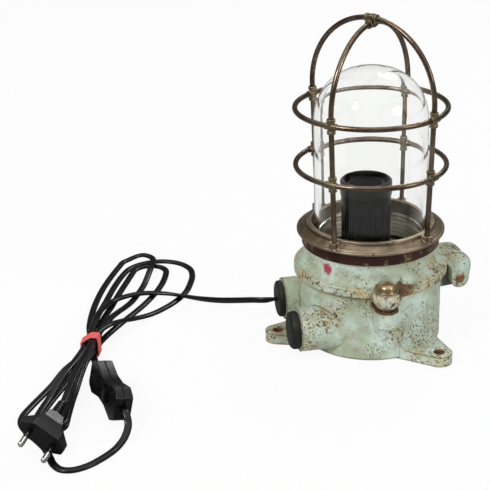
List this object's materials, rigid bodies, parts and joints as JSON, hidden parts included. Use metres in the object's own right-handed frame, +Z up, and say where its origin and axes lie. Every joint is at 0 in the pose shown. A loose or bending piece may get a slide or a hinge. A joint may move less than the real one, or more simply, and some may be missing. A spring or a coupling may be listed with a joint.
{
  "type": "ship table lamp",
  "caption": "Ship's lamp with a cast hinged box, screwed glass globe and wire guard, made into a table lamp with a corded switch and plug.",
  "frame": {"origin": "centre of the circle of foot holes, on the plane that the base stands on", "axes": "+Z up along the lamp's axis; +X and +Y in the base plane, the hinge 20 degrees from +X towards +Y and the cord on the -X side"},
  "size_m": [0.3301, 0.3543, 0.2571],
  "materials": {
    "mint_paint": "thick brushed paint, chipped down to rust",
    "bronze": "brown tarnished bronze",
    "maroon_paint": "dark maroon paint, worn",
    "brass": "aged brass",
    "copper_pin": "rubbed copper colour",
    "steel": "bright",
    "black_rubber": "matt",
    "red_rubber": "satin",
    "clear_glass": "clear moulded glass",
    "black_plastic": "satin",
    "cord_jacket": "satin",
    "ceramic": "matt"
  },
  "bodies": {
    "housing": {"housing": "mint_paint", "cover_gasket": "black_rubber", "hinge_pin": "copper_pin", "cord_grommet": "black_rubber", "blanking_plug": "black_rubber", "cord_clamp": "steel", "clamp_screws": "brass", "inner_lead": "cord_jacket", "cord_lead": "cord_jacket", "cord_hank": "cord_jacket", "cord_to_switch": "cord_jacket", "cord_tail": "cord_jacket", "rubber_band": "red_rubber", "switch_back": "black_plastic", "switch_front": "black_plastic", "switch_screws": "steel", "plug_body": "black_plastic", "plug_pins": "steel"},
    "cover": {"cover": "mint_paint", "screw_washers": "brass", "neck_collar": "maroon_paint", "globe_gasket": "black_rubber", "holder_bridge": "steel", "bridge_screws": "brass", "threaded_tube": "steel", "lock_nuts": "steel", "holder_cap": "black_plastic", "holder_body": "black_plastic", "holder_insert": "ceramic", "holder_socket": "black_plastic", "holder_contact": "brass"},
    "guard": {"guard_ring": "bronze", "guard_bar_1": "bronze", "guard_bar_2": "bronze", "guard_bar_3": "bronze", "guard_bar_4": "bronze", "lower_hoop": "bronze", "upper_hoop": "bronze", "lower_joints": "bronze", "upper_joints": "bronze", "crown_joint": "bronze"},
    "globe": {"glass_globe": "clear_glass"},
    "screw_front": {"cover_screw_front": "brass"},
    "screw_rear": {"cover_screw_rear": "brass"},
    "rocker": {"switch_rocker": "black_plastic"}
  },
  "joints": [
    {"name": "cover_hinge", "type": "hinge", "parent": "housing", "child": "cover", "pos_m": [0.06766, 0.02463, 0.039], "axis": [-0.342, 0.9397, 0], "range_deg": [0, 100]},
    {"name": "guard_turn", "type": "hinge", "parent": "cover", "child": "guard", "pos_m": [0, 0, 0.09], "axis": [0, 0, 1], "continuous": true},
    {"name": "globe_turn", "type": "hinge", "parent": "cover", "child": "globe", "pos_m": [0, 0, 0.07], "axis": [0, 0, 1], "continuous": true},
    {"name": "screw_front_turn", "type": "hinge", "parent": "cover", "child": "screw_front", "pos_m": [0.01266, -0.05957, 0.06], "axis": [0, 0, 1], "continuous": true},
    {"name": "screw_rear_turn", "type": "hinge", "parent": "cover", "child": "screw_rear", "pos_m": [-0.02859, 0.05377, 0.06], "axis": [0, 0, 1], "continuous": true},
    {"name": "rocker_tilt", "type": "hinge", "parent": "housing", "child": "rocker", "pos_m": [-0.18904, -0.1342, 0.01594], "axis": [0.2069, 0.0798, 0.9751], "range_deg": [0, 16]}
  ]
}
